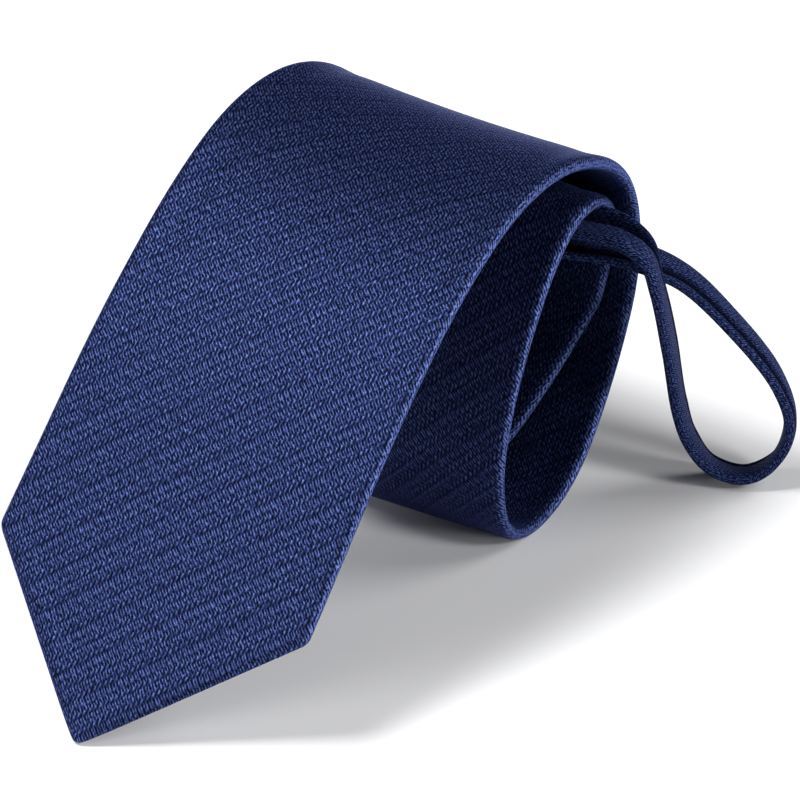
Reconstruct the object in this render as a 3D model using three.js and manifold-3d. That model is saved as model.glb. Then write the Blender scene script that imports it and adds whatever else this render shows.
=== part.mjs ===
// A ready-tied necktie lying loosely rolled on a flat surface, in millimetres, +Z up.
//
// X runs across the tie and Y from the pointed tip towards the roll. The blade is one long sheet whose
// middle line lies in the plane x = 0: it rises from the tip, goes over the crest, under itself, up and over
// again inside the roll, and ends in the knot. The neck band leaves the knot upwards, comes out of the roll
// at the side and lies as a loop. The origin is the middle of the bottom of the whole.

import * as THREE from 'three';
import { mergeVertices } from 'three/addons/utils/BufferGeometryUtils.js';
import Module from 'manifold-3d';

const wasm = await Module();
wasm.setup();

const DEG = Math.PI / 180;
const BLEND_SAMPLES = 17;           // values averaged where one row of a table blends into the next
const ROUNDNESS = 0.6;              // exponent of the knot's and band's oval sections, 1 is an ellipse

// Folded cloth: two layers of silk round a woollen lining cloth
const CLOTH_THICKNESS = 3.0;
const SIDE_FOLD_THICKNESS = 3.2;    // the side folds stay a little puffier than the flat between them
const CREASE_THICKNESS = 2.8;       // the pressed line beside each side fold
const CREASE_INSET = 7;             // from the blade's edge to that line
const FLOOR_PRESS = 0.3;            // how far the cloth flattens where it rests

// The middle line of the blade from the tip to the knot: each stretch's length and its turn to the left
const TIP_HEADING = 45;             // degrees above the surface
const HEADING_BLEND = 8;            // length over which one stretch's curve passes into the next
const CREST_AT = 150;               // distance of the highest place from the tip
const STRETCHES = [
	{ name: 'point', length: 35, turn: 0 },
	{ name: 'lower slope', length: 30, turn: 1 },
	{ name: 'middle slope', length: 35, turn: -8 },
	{ name: 'upper slope', length: 25, turn: -14 },
	{ name: 'shoulder', length: 20, turn: -23 },
	{ name: 'crest', length: 30, turn: -37 },
	{ name: 'outer back, top', length: 25, turn: -44 },
	{ name: 'outer back, middle', length: 20, turn: -29 },
	{ name: 'outer back, low', length: 30, turn: -17 },
	{ name: 'bottom', length: 25, turn: -57 },
	{ name: 'bottom, going up', length: 15, turn: -69 },
	{ name: 'inner front, low', length: 20, turn: -34 },
	{ name: 'inner front, high', length: 35, turn: -23 },
	{ name: 'inner crest, coming in', length: 10, turn: -16 },
	{ name: 'inner crest', length: 15, turn: -60 },
	{ name: 'inner crest, going down', length: 15, turn: -70 },
	{ name: 'inner back, top', length: 15, turn: -16 },
	{ name: 'inner back', length: 35, turn: -19 },
	{ name: 'last turn', length: 23, turn: -166 },
	{ name: 'rise into the knot', length: 12, turn: 0 },
];

// The blade's outline: its width and the sideways drift of its middle, by distance from the rounded tip.
// The first row is where the point's two edges would meet if the tip were sharp.
const OUTLINE = [
	{ at: -1, width: 0, drift: -1 },
	{ at: 35, width: 75, drift: 0 },
	{ at: 365, width: 63, drift: 1.5 },
	{ at: 400, width: 59, drift: 1 },
	{ at: 430, width: 43, drift: 0 },
	{ at: 445, width: 33, drift: 0 },
	{ at: 460, width: 23, drift: 0 },
	{ at: 470, width: 21, drift: 0 },
];
const CORNER_BLEND = 2.5;           // rounds the two corners of the point

// Where the sheet stands out from its even curve: how far at its far edge, middle and near edge
const BULGES = [
	{ name: 'bowed crest', at: CREST_AT, reach: 55, far: 1.6, middle: -0.8, near: 0 },
	{ name: 'crest corner', at: 182, reach: 20, far: 0, middle: 0, near: 0.5 },
	{ name: 'skewed foot of the roll', at: 290, reach: 42, far: 2.6, middle: 1.7, near: 0 },
];

// Rows of the blade's mesh
const PATH_STEP = 0.5;
const ROW_MAX_LENGTH = 8;
const ROW_MAX_TURN = 9;             // degrees of heading
const ROW_MAX_EDGE_TURN = 18;       // degrees of the outline's edge
const FIRST_ROW = 0.15;             // distance of the first row behind the tip

// The knot, narrow where the blade comes in and wide at the collar end
const KNOT_START = 460;             // distance from the tip along the blade
const KNOT_SECTIONS = [
	{ at: 0, halfWidth: 12.6, halfThickness: 6.2 },
	{ at: 1.5, halfWidth: 14, halfThickness: 7.4 },
	{ at: 10, halfWidth: 15, halfThickness: 8 },
	{ at: 20, halfWidth: 17, halfThickness: 8.6 },
	{ at: 28, halfWidth: 18.4, halfThickness: 8.9 },
	{ at: 32.5, halfWidth: 18.6, halfThickness: 8.5 },
	{ at: 34, halfWidth: 17.4, halfThickness: 7.3 },
];
const KNOT_SIDES = 24;
const SEAT_GAP = 0.35;              // between the knot and what goes into it

// The neck band, a flat folded strip, and its way from the knot and back into it. Plan and dip give the
// direction across the strip: the angle from +X seen from above, and how far that direction points down.
const BAND_WIDTH = 9;
const BAND_THICKNESS = 2.8;
const BAND_IN_KNOT = 4.5;           // length of each end inside the knot
const BAND_APART = 8;               // each end's distance from the knot's middle
const BAND_SIDES = 12;
const BAND_STEPS = 6;               // sections between two rows of the route
const BAND_ROUTE = [
	{ x: -7.5, y: 132.5, z: 55.5, plan: 91, dip: 25 },
	{ x: -5, y: 133.5, z: 58.5, plan: 94, dip: 18 },
	{ x: 1, y: 134, z: 60.5, plan: 98, dip: 9 },
	{ x: 16, y: 134.5, z: 63, plan: 106, dip: 3 },
	{ x: 31, y: 137, z: 64.5, plan: 111, dip: 2 },
	{ x: 39, y: 139, z: 64, plan: 113, dip: -2 },
	{ x: 44.5, y: 140, z: 61, plan: 115, dip: -5 },
	{ x: 46.5, y: 141.5, z: 54, plan: 114, dip: 2 },
	{ x: 47.5, y: 147, z: 37, plan: 110, dip: 6 },
	{ x: 49, y: 150.5, z: 20, plan: 110, dip: 8 },
	{ x: 51, y: 153, z: 11, plan: 113, dip: 10 },
	{ x: 55, y: 156.5, z: 4, plan: 119, dip: 11 },
	{ x: 61, y: 160.5, z: 2, plan: 118, dip: 13 },
	{ x: 66, y: 164, z: 6, plan: 110, dip: 10 },
	{ x: 68, y: 165.5, z: 15, plan: 119, dip: 0 },
	{ x: 65, y: 163.5, z: 26, plan: 122, dip: -6 },
	{ x: 56, y: 158, z: 40, plan: 122, dip: -7 },
	{ x: 46, y: 154, z: 49.5, plan: 122, dip: -8 },
	{ x: 38, y: 146.5, z: 55.5, plan: 109, dip: -3 },
	{ x: 27, y: 138.5, z: 58, plan: 107, dip: 3 },
	{ x: 13, y: 134, z: 57.5, plan: 98, dip: 14 },
	{ x: 9, y: 132.5, z: 56, plan: 93, dip: 22 },
];

const COLOURS = { blade: 0x2f4687, knot: 0x2b417f, neckBand: 0x2b417f };

// Linear interpolation of one column of a table whose rows are ordered by their "at" value
function columnAt(rows, key, at) {
	if (at <= rows[0].at) return rows[0][key];
	for (let i = 1; i < rows.length; i++) {
		if (at <= rows[i].at) {
			const share = (at - rows[i - 1].at) / (rows[i].at - rows[i - 1].at);
			return rows[i - 1][key] + share * (rows[i][key] - rows[i - 1][key]);
		}
	}
	return rows[rows.length - 1][key];
}

// The same value averaged over a short length, which turns the table's kinks into curves
function smoothColumnAt(rows, key, at, blend) {
	let sum = 0;
	for (let i = 0; i < BLEND_SAMPLES; i++) {
		sum += columnAt(rows, key, at + blend * (i / (BLEND_SAMPLES - 1) - 0.5));
	}
	return sum / BLEND_SAMPLES;
}

// Fills an oval's corners out: applied to a sine or cosine
function rounded(value) {
	return Math.sign(value) * Math.abs(value) ** ROUNDNESS;
}

// Joins rings of points into one closed body with a fan over each end. A ring runs counterclockwise for
// someone towards whom the rings advance.
function loft(rings) {
	const sides = rings[0].length;
	const points = rings.flat();
	const faces = [];
	for (let i = 0; i + 1 < rings.length; i++) {
		for (let j = 0; j < sides; j++) {
			const a = i * sides + j;
			const b = i * sides + (j + 1) % sides;
			faces.push(a, b, b + sides, a, b + sides, a + sides);
		}
	}
	const lastRing = (rings.length - 1) * sides;
	for (const [start, ring, forward] of [[0, rings[0], false], [lastRing, rings[rings.length - 1], true]]) {
		const middle = ring.reduce((sum, p) => sum.add(p), new THREE.Vector3()).divideScalar(sides);
		points.push(middle);
		for (let j = 0; j < sides; j++) {
			const a = start + j;
			const b = start + (j + 1) % sides;
			faces.push(points.length - 1, forward ? a : b, forward ? b : a);
		}
	}
	const geometry = new THREE.BufferGeometry().setFromPoints(points);
	geometry.setIndex(faces);
	return geometry;
}

// Turns a closed geometry into a solid for cutting, and a solid back into a geometry
function toSolid(geometry) {
	const bare = geometry.clone();
	bare.deleteAttribute('normal');
	bare.deleteAttribute('uv');
	const merged = mergeVertices(bare, 1e-4);
	const vertProperties = new Float32Array(merged.attributes.position.array);
	const triVerts = new Uint32Array(merged.index.array);
	return new wasm.Manifold(new wasm.Mesh({ numProp: 3, vertProperties, triVerts }));
}

function toGeometry(solid) {
	const mesh = solid.getMesh();
	const geometry = new THREE.BufferGeometry();
	geometry.setAttribute('position', new THREE.BufferAttribute(mesh.vertProperties, 3));
	geometry.setIndex(new THREE.BufferAttribute(mesh.triVerts, 1));
	return geometry;
}

function cloth(colour) {
	return new THREE.MeshStandardMaterial({ color: colour, roughness: 0.62, metalness: 0 });
}

// The blade's middle line as a list of places, one for each path step, lowered onto the surface
function middleLine() {
	const headings = [{ at: 0, heading: TIP_HEADING }];
	for (const stretch of STRETCHES) {
		const last = headings[headings.length - 1];
		headings.push({ at: last.at + stretch.length, heading: last.heading + stretch.turn });
	}
	const headingAt = (at) => smoothColumnAt(headings, 'heading', at, HEADING_BLEND);
	const total = headings[headings.length - 1].at;
	const line = [{ at: 0, y: 0, z: 0, heading: headingAt(0) }];
	for (let i = 1; i * PATH_STEP <= total; i++) {
		const last = line[line.length - 1];
		const heading = headingAt(i * PATH_STEP);
		const middle = (heading + last.heading) / 2 * DEG;
		line.push({
			at: i * PATH_STEP,
			y: last.y + PATH_STEP * Math.cos(middle),
			z: last.z + PATH_STEP * Math.sin(middle),
			heading,
		});
	}
	const underRoll = line.filter((place) => place.at > CREST_AT);
	const lowest = Math.min(...underRoll.map((place) => place.z));
	const drop = lowest - CLOTH_THICKNESS / 2 + FLOOR_PRESS;
	for (const place of line) place.z -= drop;
	return line;
}

// Half the blade's width: straight edges with round corners, and a hyperbola round the tip
function halfWidthAt(at) {
	const [sharpTip, corner] = OUTLINE;
	const straight = smoothColumnAt(OUTLINE, 'width', at, CORNER_BLEND) / 2;
	const slope = corner.width / 2 / (corner.at - sharpTip.at);
	const tip = slope * Math.sqrt(Math.max((at - sharpTip.at) ** 2 - sharpTip.at ** 2, 0));
	return Math.min(straight, tip);
}

// One cross section of the blade as pairs of across and normal distances, clockwise from the far side's top
function bladeSection(halfWidth) {
	const fold = Math.min(SIDE_FOLD_THICKNESS / 2, 0.9 * halfWidth);
	const shrink = fold / (SIDE_FOLD_THICKNESS / 2);
	const edge = halfWidth - fold;
	const crease = Math.max(edge / 2, halfWidth - CREASE_INSET);
	const top = [
		[-edge, fold],
		[-crease, CREASE_THICKNESS / 2 * shrink],
		[0, CLOTH_THICKNESS / 2 * shrink],
		[crease, CREASE_THICKNESS / 2 * shrink],
		[edge, fold],
	];
	const bend = [45, 0, -45].map((angle) => [edge + fold * Math.cos(angle * DEG), fold * Math.sin(angle * DEG)]);
	const nearHalf = [...top, ...bend];
	return [...nearHalf, ...nearHalf.map(([across, normal]) => [-across, -normal])];
}

// How far the bulges lift the sheet outwards, at a share of the half width from -1 (far) to 1 (near)
function bulgeAt(at, share) {
	let lift = 0;
	for (const { at: centre, reach, far, middle, near } of BULGES) {
		const fade = Math.cos(Math.min(Math.abs(at - centre) / reach, 1) * 90 * DEG) ** 2;
		lift += fade * (middle + (near - far) / 2 * share + ((near + far) / 2 - middle) * share ** 2);
	}
	return lift;
}

// The folded body of the tie, from the tip to its end inside the knot
function makeBlade(line) {
	const rings = [];
	let last = null;
	for (const place of line) {
		const at = Math.max(place.at, FIRST_ROW);
		const halfWidth = halfWidthAt(at);
		const edgeRise = halfWidthAt(at + PATH_STEP / 2) - halfWidthAt(at - PATH_STEP / 2);
		const edgeAngle = Math.atan(edgeRise / PATH_STEP) / DEG;
		const due = last === null
			|| place.at - last.at >= ROW_MAX_LENGTH
			|| Math.abs(place.heading - last.heading) >= ROW_MAX_TURN
			|| Math.abs(edgeAngle - last.edgeAngle) >= ROW_MAX_EDGE_TURN
			|| place === line[line.length - 1];
		if (!due) continue;
		last = { at: place.at, heading: place.heading, edgeAngle };
		const drift = columnAt(OUTLINE, 'drift', at);
		const sin = Math.sin(place.heading * DEG);
		const cos = Math.cos(place.heading * DEG);
		rings.push(bladeSection(halfWidth).map(([across, normal]) => {
			const out = normal + bulgeAt(at, across / halfWidth);
			return new THREE.Vector3(across + drift, place.y - out * sin, Math.max(place.z + out * cos, 0));
		}));
	}
	const mesh = new THREE.Mesh(loft(rings), cloth(COLOURS.blade));
	mesh.name = 'blade';
	return mesh;
}

// The knot's frame: Z along its axis from the blade's end to the collar end, X across the tie
function knotFrame(line) {
	const start = line.find((place) => place.at >= KNOT_START);
	const end = line[line.length - 1];
	const axis = new THREE.Vector3(0, end.y - start.y, end.z - start.z).normalize();
	const across = new THREE.Vector3(1, 0, 0);
	const frame = new THREE.Matrix4().makeBasis(across, axis.clone().cross(across), axis);
	return frame.setPosition(0, start.y, start.z);
}

// A box in the knot's frame that cuts the seat for what goes in at one of its ends
function seat(x, bottom, top, width, depth) {
	const box = new THREE.BoxGeometry(width + 2 * SEAT_GAP, depth + 2 * SEAT_GAP, top - bottom);
	return toSolid(box.translate(x, 0, (top + bottom) / 2));
}

// The knot with a slot for the blade and a pocket for each end of the neck band
function makeKnot(frame, bladeEnd) {
	const top = KNOT_SECTIONS[KNOT_SECTIONS.length - 1].at;
	const rings = KNOT_SECTIONS.map((section) => {
		const ring = [];
		for (let i = 0; i < KNOT_SIDES; i++) {
			const angle = (i + 0.5) / KNOT_SIDES * 360 * DEG;
			ring.push(new THREE.Vector3(
				section.halfWidth * rounded(Math.cos(angle)),
				section.halfThickness * rounded(Math.sin(angle)),
				section.at,
			));
		}
		return ring;
	});
	const bladeWidth = 2 * halfWidthAt(KNOT_START);
	const outside = 5;
	let solid = toSolid(loft(rings));
	solid = solid.subtract(seat(0, -outside, bladeEnd + SEAT_GAP, bladeWidth, SIDE_FOLD_THICKNESS));
	for (const x of [-BAND_APART, BAND_APART]) {
		const pocket = seat(x, top - BAND_IN_KNOT - SEAT_GAP, top + outside, BAND_THICKNESS, BAND_WIDTH);
		solid = solid.subtract(pocket);
	}
	const mesh = new THREE.Mesh(toGeometry(solid).applyMatrix4(frame), cloth(COLOURS.knot));
	mesh.name = 'knot';
	return mesh;
}

// The band's route with its two ends added, which run straight down into the knot
function bandRoute(frame) {
	const top = KNOT_SECTIONS[KNOT_SECTIONS.length - 1].at;
	const thickness = new THREE.Vector3().setFromMatrixColumn(frame, 1);
	const dip = Math.asin(Math.abs(thickness.z)) / DEG;
	const end = (x, height) => {
		const place = new THREE.Vector3(x, 0, top + height).applyMatrix4(frame);
		return { x: place.x, y: place.y, z: place.z, plan: 90, dip };
	};
	return [
		end(-BAND_APART, -BAND_IN_KNOT),
		end(-BAND_APART, 0),
		...BAND_ROUTE,
		end(BAND_APART, 0),
		end(BAND_APART, -BAND_IN_KNOT),
	];
}

// The neck band: an oval section carried along a smooth curve through the route's rows
function makeNeckLoop(frame) {
	const route = bandRoute(frame);
	const places = route.map((row) => new THREE.Vector3(row.x, row.y, row.z));
	const curve = new THREE.CatmullRomCurve3(places, false, 'centripetal');
	const count = (route.length - 1) * BAND_STEPS;
	const rings = [];
	for (let i = 0; i <= count; i++) {
		const row = Math.min(Math.floor(i / BAND_STEPS), route.length - 2);
		const share = THREE.MathUtils.smoothstep(i / BAND_STEPS - row, 0, 1);
		const plan = THREE.MathUtils.lerp(route[row].plan, route[row + 1].plan, share) * DEG;
		const dip = THREE.MathUtils.lerp(route[row].dip, route[row + 1].dip, share) * DEG;
		const centre = curve.getPoint(i / count);
		const along = curve.getTangent(i / count);
		const across = new THREE.Vector3(
			Math.cos(plan) * Math.cos(dip),
			Math.sin(plan) * Math.cos(dip),
			-Math.sin(dip),
		);
		across.addScaledVector(along, -across.dot(along)).normalize();
		const normal = along.clone().cross(across);
		const ring = [];
		for (let j = 0; j < BAND_SIDES; j++) {
			const angle = (j + 0.5) / BAND_SIDES * 360 * DEG;
			const point = centre.clone()
				.addScaledVector(across, BAND_WIDTH / 2 * rounded(Math.cos(angle)))
				.addScaledVector(normal, BAND_THICKNESS / 2 * rounded(Math.sin(angle)));
			ring.push(point.setZ(Math.max(point.z, 0)));
		}
		rings.push(ring);
	}
	const mesh = new THREE.Mesh(loft(rings), cloth(COLOURS.neckBand));
	mesh.name = 'neck_loop';
	return mesh;
}

const line = middleLine();
const frame = knotFrame(line);
const bladeEnd = line[line.length - 1].at - KNOT_START;

const tie = new THREE.Group();
tie.add(makeBlade(line), makeKnot(frame, bladeEnd), makeNeckLoop(frame));

const bounds = new THREE.Box3().setFromObject(tie);
const centre = bounds.getCenter(new THREE.Vector3());
tie.position.set(-centre.x, -centre.y, -bounds.min.z);

export default tie;
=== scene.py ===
# %% [markdown]
# # A ready-tied necktie, loosely rolled
# The tie lies on a table: its pointed end leans up in front, the blade goes over a crest, rolls under and
# comes up again inside itself, and ends in its knot. A narrow neck band leaves the knot, comes out of the
# roll at the side and lies as a loop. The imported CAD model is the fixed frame, and each of its three solids
# gets a finer piece of cloth in the same place. All tables are in millimetres, as in the CAD source, with
# the tip of the tie at y = 0, and `to_row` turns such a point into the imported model's frame in metres.

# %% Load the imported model
import math
from functools import partial

import bpy
from mathutils import Matrix, Vector


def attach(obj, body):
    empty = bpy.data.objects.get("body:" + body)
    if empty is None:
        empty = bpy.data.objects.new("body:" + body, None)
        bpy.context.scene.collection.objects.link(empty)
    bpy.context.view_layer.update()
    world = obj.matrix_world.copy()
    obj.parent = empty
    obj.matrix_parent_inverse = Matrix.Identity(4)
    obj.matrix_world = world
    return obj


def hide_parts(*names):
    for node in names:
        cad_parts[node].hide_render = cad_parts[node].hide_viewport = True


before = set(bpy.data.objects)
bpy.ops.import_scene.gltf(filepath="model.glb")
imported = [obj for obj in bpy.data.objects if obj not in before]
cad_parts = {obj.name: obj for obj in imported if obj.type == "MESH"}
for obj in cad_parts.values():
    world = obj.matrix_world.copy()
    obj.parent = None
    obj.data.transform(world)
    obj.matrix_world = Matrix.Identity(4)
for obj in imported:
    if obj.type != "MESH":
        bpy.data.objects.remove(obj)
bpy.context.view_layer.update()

MM = 0.001
TIP_IN_ROW = (-16.66, -84.64)       # where the tie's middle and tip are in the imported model's frame


def to_row(point):
    """A point in the tie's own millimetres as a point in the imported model's frame."""
    x, y, z = point
    return Vector((x + TIP_IN_ROW[0], y + TIP_IN_ROW[1], z)) * MM


# %% [markdown]
# ## The camera
# The photograph is taken from the front right and above with a long lens, so parallel edges stay nearly
# parallel. A camera could be aimed at an empty object, but then its roll is hard to set. Here it is given as
# three angles and a place, and the script builds its axes from them. These six numbers were found by matching
# the tie's drawn edges with those in the photograph.

# %% Camera
CAMERA_AZIMUTH = 32.13              # degrees from the front to the right
CAMERA_ELEVATION = 31.91
CAMERA_ROLL = 1.45
CAMERA_PLACE = (480.6, -649.1, 584.5)    # from the tip, in mm
SENSOR_MM = 36
FRAME_WIDTHS_OF_FOCAL_LENGTH = 6.25
CAMERA_SEES = (0.01, 50)            # nearest and furthest distance in metres


def make_camera():
    azimuth, elevation = math.radians(CAMERA_AZIMUTH), math.radians(CAMERA_ELEVATION)
    forward = Vector((
        -math.sin(azimuth) * math.cos(elevation),
        math.cos(azimuth) * math.cos(elevation),
        -math.sin(elevation),
    ))
    level = Vector((math.cos(azimuth), math.sin(azimuth), 0))
    above = level.cross(forward)
    roll = math.radians(CAMERA_ROLL)
    right = level * math.cos(roll) + above * math.sin(roll)
    up = above * math.cos(roll) - level * math.sin(roll)
    data = bpy.data.cameras.new("camera")
    data.sensor_width = SENSOR_MM
    data.lens = SENSOR_MM * FRAME_WIDTHS_OF_FOCAL_LENGTH
    data.clip_start, data.clip_end = CAMERA_SEES
    camera = bpy.data.objects.new("camera", data)
    bpy.context.scene.collection.objects.link(camera)
    turn = Matrix((right, up, -forward)).transposed().to_4x4()
    camera.matrix_world = Matrix.Translation(to_row(CAMERA_PLACE)) @ turn
    bpy.context.scene.camera = camera
    return camera


camera = make_camera()
print("camera at", tuple(round(v, 3) for v in camera.location), "lens", camera.data.lens)

# %% [markdown]
# ## The middle line of the blade
# The blade is one strip that rolls up, so everything about it hangs on the line along its middle, seen from
# the side. A Bezier curve could be drawn for it, but its handles make uneven bends and its length is hard to
# keep. A rolled strip is easier to describe by how it turns: each stretch has a length and the angle that it
# turns through. Where one stretch passes into the next, the turn is averaged over a short length, because
# woven cloth with a lining never bends with a kink. These are the same stretches as in the CAD source, so the
# cloth lies where the solid lies.

# %% Stretches of the middle line
TIP_HEADING = 45                    # degrees above the table
HEADING_BLEND = 8                   # length over which one turn passes into the next
CREST_AT = 150                      # about where the line is highest, from the tip
PATH_STEP = 0.5
FLOOR_PRESS = 0.3                   # how far the cloth is pressed where it lies on the table
CLOTH = 3.0                         # thickness of the folded blade
BLEND_SAMPLES = 17                  # places that an average is taken from

STRETCHES = [                       # length, turn, name
    (35, 0, "point"),
    (30, 1, "lower slope"),
    (35, -8, "middle slope"),
    (25, -14, "upper slope"),
    (20, -23, "shoulder"),
    (30, -37, "crest"),
    (25, -44, "outer back, top"),
    (20, -29, "outer back, middle"),
    (30, -17, "outer back, low"),
    (25, -57, "bottom"),
    (15, -69, "bottom, going up"),
    (20, -34, "inner front, low"),
    (35, -23, "inner front, high"),
    (10, -16, "inner crest, coming in"),
    (15, -60, "inner crest"),
    (15, -70, "inner crest, going down"),
    (15, -16, "inner back, top"),
    (35, -19, "inner back"),
    (23, -166, "last turn"),
    (12, 0, "rise into the knot"),
]


def between(rows, at):
    """Linear interpolation in rows of (at, value)."""
    if at <= rows[0][0]:
        return rows[0][1]
    for (before, low), (after, high) in zip(rows, rows[1:]):
        if at <= after:
            return low + (at - before) / (after - before) * (high - low)
    return rows[-1][1]


def smooth_between(rows, at, blend):
    """The same value averaged over a short length."""
    steps = [blend * (i / (BLEND_SAMPLES - 1) - 0.5) for i in range(BLEND_SAMPLES)]
    return sum(between(rows, at + step) for step in steps) / BLEND_SAMPLES


def middle_line():
    """Rows of distance from the tip, y, z and heading, laid down so that the line's lowest part rests."""
    headings = [(0, TIP_HEADING)]
    for length, turn, _ in STRETCHES:
        headings.append((headings[-1][0] + length, headings[-1][1] + turn))
    line = [(0, 0.0, 0.0, smooth_between(headings, 0, HEADING_BLEND))]
    for i in range(1, int(headings[-1][0] / PATH_STEP) + 1):
        _, y, z, last = line[-1]
        heading = smooth_between(headings, i * PATH_STEP, HEADING_BLEND)
        middle = math.radians((heading + last) / 2)
        y, z = y + PATH_STEP * math.cos(middle), z + PATH_STEP * math.sin(middle)
        line.append((i * PATH_STEP, y, z, heading))
    lowest = min(z for at, y, z, heading in line if at > CREST_AT)
    drop = lowest - CLOTH / 2 + FLOOR_PRESS
    return [(at, y, z - drop, heading) for at, y, z, heading in line]


line = middle_line()
LINE_LENGTH = line[-1][0]
print("middle line", LINE_LENGTH, "mm long, highest point", round(max(row[2] for row in line), 1))

# %% [markdown]
# ## The blade's outline
# Seen flat, the blade is widest at the corners of its point and narrows slowly towards the knot, where it is
# gathered. The point's two edges run at about 45 degrees, along the weave's threads, because tie cloth is
# cut on the bias. A flat outline could be drawn and bent afterwards with a modifier, but the bend would
# stretch it. So the outline is kept as a table of widths by distance along the cloth, and each ring of the
# blade reads it where it lies.

# %% Width, drift and bulges
OUTLINE_WIDTH = [                   # distance from the tip, width
    (-1, 0), (35, 75), (365, 63), (400, 59), (430, 43), (445, 33), (460, 23), (470, 21),
]
OUTLINE_DRIFT = [                   # distance from the tip, sideways drift
    (-1, -1), (35, 0), (365, 1.5), (400, 1), (430, 0),
]
CORNER_BLEND = 2.5

BULGES = [                          # centre, reach, then how far at the far edge, middle and near edge
    (CREST_AT, 55, 1.6, -0.8, 0),   # the crest is bowed
    (182, 20, 0, 0, 0.5),           # its near corner stands out
    (290, 42, 2.6, 1.7, 0),         # the foot of the roll is skewed
]


def half_width(at):
    """Half the blade's width, with a tip that is slightly round."""
    (start, _), (corner, width) = OUTLINE_WIDTH[:2]
    straight = smooth_between(OUTLINE_WIDTH, at, CORNER_BLEND) / 2
    slope = width / 2 / (corner - start)
    tip = slope * math.sqrt(max((at - start) ** 2 - start ** 2, 0))
    return min(straight, tip)


def bulge(at, share):
    """How far the cloth stands out. The share is -1 at the far edge and 1 at the near edge."""
    lift = 0
    for centre, reach, far, middle, near in BULGES:
        fade = math.cos(min(abs(at - centre) / reach, 1) * math.pi / 2) ** 2
        lift += fade * (middle + (near - far) / 2 * share + ((near + far) / 2 - middle) * share ** 2)
    return lift


for at in (36, 200, 465):
    print("half width", round(half_width(at), 1), "mm,", at, "mm from the tip")

# %% [markdown]
# ## The blade's cross section
# A tie's blade is a flattened tube: the silk is folded round a lining cloth, and its two sides meet in a
# seam on the back. The folds stay round and a little puffy, and just inside them the cloth is pressed
# thinner. A thin sheet with a Solidify modifier would have square edges instead, so the section is drawn
# directly. One half of it is a height over the distance from the fold's edge, and the back gets the lap of
# its seam, which opens into a V fold behind the point. The points lie closer together towards the folds,
# where the surface turns.

# %% Section of the blade
FOLD_REACH = [                      # distance from the tip, how far a fold's round reaches in
    (0, 3.8), (31, 3.8), (41, 2.4),
]
FOLD_HEIGHT = 1.6                   # half the thickness at a fold, where nothing presses it
PRESSED_AT = 6.5                    # distance from the edge to the pressed place
PRESSED_SPREAD = 3.2
PRESSED_DEPTH = 0.22
HALF_POINTS = 38                    # points from the middle to a fold


def cloth_height(distance, reach):
    """Half the thickness at a distance from the edge."""
    inside = min(distance / reach, 1)
    rounding = math.sqrt(max(1 - (1 - inside) ** 2, 0))
    pressed = PRESSED_DEPTH * math.exp(-(((distance - PRESSED_AT) / PRESSED_SPREAD) ** 2))
    settle = (FOLD_HEIGHT - CLOTH / 2) * min(distance / PRESSED_AT, 1)
    return rounding * (FOLD_HEIGHT - settle - pressed)


# %% Seam and V fold on the back
SEAM_LAP = 5.0                      # the lapped fold lies this far past the middle of the back
SEAM_HEIGHT = 0.45
SEAM_EDGE = 0.22                    # width over which the lap drops to the cloth under it
SEAM_FADE = 9                       # width over which the lap's height is lost again
SEAM_START = 62                     # distance from the tip where the two sides meet
V_OPENING = 0.85                    # how far each side of the V moves out for a millimetre towards the tip
V_SPREAD = 1.6
BACK_RELIEF = (8, 455)              # the back has relief between these distances from the tip
RELIEF_FADE = 4                     # and loses it this near to the edge
MOST_POWER = 40                     # keeps the exponential within what a number can hold


def seam_lift(at, across):
    """How far the lapped seam, or nearer to the tip the V fold, stands out from the back."""
    opening = max(SEAM_START - at, 0) * V_OPENING
    from_lap = across - SEAM_LAP - opening
    if at > SEAM_START:
        on_lap = 1 / (1 + math.exp(max(min(from_lap / SEAM_EDGE, MOST_POWER), -MOST_POWER)))
        return SEAM_HEIGHT * on_lap * math.exp(-max(-from_lap, 0) / SEAM_FADE)
    nearest = abs(from_lap)
    if at < SEAM_START:
        nearest = min(nearest, abs(across + SEAM_LAP + opening))
    return SEAM_HEIGHT * math.exp(-(nearest / V_SPREAD) ** 2)


def blade_section(at, half, lean):
    """Across, normal and the way round the section, clockwise from the far side's fold."""
    shares = [math.sin(math.pi / 2 * i / HALF_POINTS) for i in range(-HALF_POINTS, HALF_POINTS + 1)]
    reach = between(FOLD_REACH, at)
    relief_from, relief_to = BACK_RELIEF
    scale = min(half * lean / reach, 1)
    points = []
    for share in shares:
        distance = half * (1 - abs(share)) * lean
        points.append((half * share, cloth_height(distance, reach) * scale))
    for share in reversed(shares[1:-1]):
        distance = half * (1 - abs(share)) * lean
        lift = 0
        if relief_from < at < relief_to:
            lift = seam_lift(at, half * share) * min(distance / RELIEF_FADE, 1)
        points.append((half * share, -(cloth_height(distance, reach) * scale + lift)))
    way = [0.0]
    for (x0, n0), (x1, n1) in zip(points, points[1:]):
        way.append(way[-1] + math.hypot(x1 - x0, n1 - n0))
    return [(x, n, w) for (x, n), w in zip(points, way)]


print("one section has", len(blade_section(CREST_AT, half_width(CREST_AT), 1)), "points")

# %% [markdown]
# ## A tube of rings
# The blade and the knot change their section all the way, so a curve with one bevel can't make them. They
# are rings of points joined into a closed body. The helper also writes the UV map: across the cloth in U and
# along it in V, both in millimetres, so a weave in the material follows the cloth round every bend.

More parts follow.
